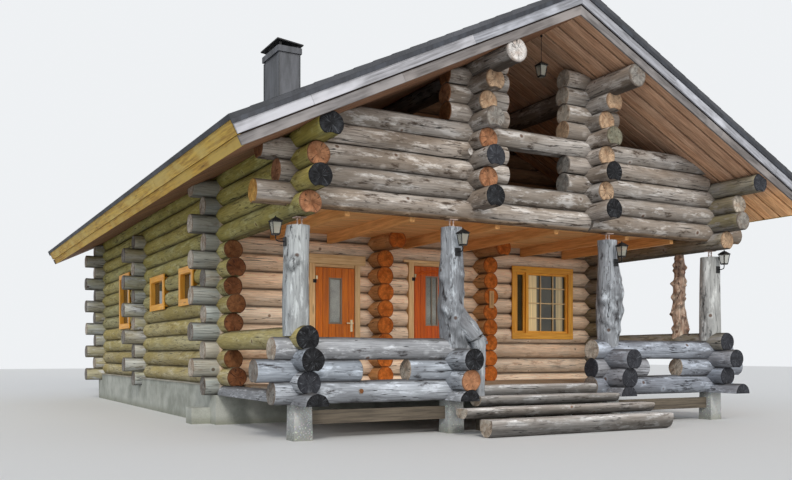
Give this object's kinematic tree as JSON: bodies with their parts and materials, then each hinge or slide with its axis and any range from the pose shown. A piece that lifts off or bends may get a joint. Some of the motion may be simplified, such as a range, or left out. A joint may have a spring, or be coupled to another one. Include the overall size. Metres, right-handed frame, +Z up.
{
  "type": "log cabin",
  "caption": "Gabled log cabin with saddle-notched corners, a porch with log rails and steps, a balcony above it, two hinged doors and a chimney.",
  "frame": {"origin": "on the ground under the ridge, in the plane of the porch posts", "axes": "+X to the right along the gable front, +Y from the front to the back along the ridge, +Z up"},
  "size_m": [10.093, 14.6726, 7.4822],
  "materials": {
    "concrete": "matt, smooth cast",
    "pebble_concrete": "matt, speckled",
    "floor_boards": "oiled boards",
    "deck_boards": "worn boards",
    "grey_boards": "weathered grey boards",
    "step_logs": "worn half logs",
    "wall_logs": "weathered brown logs",
    "front_logs": "golden brown oiled logs",
    "gable_logs": "dark brown logs",
    "balcony_logs": "brown logs with pale and dark ends",
    "rail_logs": "brown to grey weathered logs",
    "post_wood": "peeled knotty logs",
    "trunk_wood": "peeled twisted trunk",
    "soffit_boards": "orange brown boards",
    "roofing_metal": "dark grey, satin",
    "chimney_metal": "grey sheet, satin",
    "frame_wood": "golden pine, satin",
    "door_wood": "reddish brown, satin",
    "jack_steel": "zinc plated",
    "fittings_metal": "satin",
    "lantern_metal": "matt black",
    "window_glass": "clear",
    "door_glass": "clear"
  },
  "bodies": {
    "cabin": {"balcony_beam": "balcony_logs", "balcony_floor": "deck_boards", "balcony_front_logs": "balcony_logs", "balcony_joists": "soffit_boards", "chimney": "chimney_metal", "chimney_cap": "chimney_metal", "cross_wall_stubs": "front_logs", "door_frame_hinges": "fittings_metal", "foundation": "concrete", "front_gable": "gable_logs", "front_wall": "front_logs", "lanterns": "lantern_metal", "left_corner_post": "post_wood", "left_door_frame": "frame_wood", "left_inner_post": "post_wood", "left_pier": "balcony_logs", "left_porch_rail": "rail_logs", "left_wall": "wall_logs", "middle_door_frame": "frame_wood", "porch_deck": "deck_boards", "porch_framing": "deck_boards", "porch_steps": "step_logs", "post_jacks": "jack_steel", "post_pedestals": "pebble_concrete", "purlins": "balcony_logs", "rear_gable": "gable_logs", "rear_wall": "wall_logs", "right_corner_post": "post_wood", "right_inner_post": "post_wood", "right_pier": "balcony_logs", "right_porch_rail": "rail_logs", "right_wall": "wall_logs", "roof_flashings": "roofing_metal", "roof_slabs": "soffit_boards", "roof_trim_boards": "grey_boards", "roofing": "roofing_metal", "room_floor": "floor_boards", "skirt_boards": "grey_boards", "tie_logs": "wall_logs", "twisted_trunk": "trunk_wood", "window_frames": "frame_wood", "window_glass": "window_glass"},
    "left_door": {"left_door_leaf": "door_wood", "left_door_glass": "door_glass", "left_door_fittings": "fittings_metal"},
    "middle_door": {"middle_door_leaf": "door_wood", "middle_door_glass": "door_glass", "middle_door_fittings": "fittings_metal"}
  },
  "joints": [
    {"name": "left_door_hinge", "type": "hinge", "parent": "cabin", "child": "left_door", "pos_m": [-2.2527, 2.8727, 1.665], "axis": [0, 0, -1], "range_deg": [0, 100]},
    {"name": "middle_door_hinge", "type": "hinge", "parent": "cabin", "child": "middle_door", "pos_m": [-0.3677, 2.8727, 1.665], "axis": [0, 0, -1], "range_deg": [0, 100]}
  ]
}
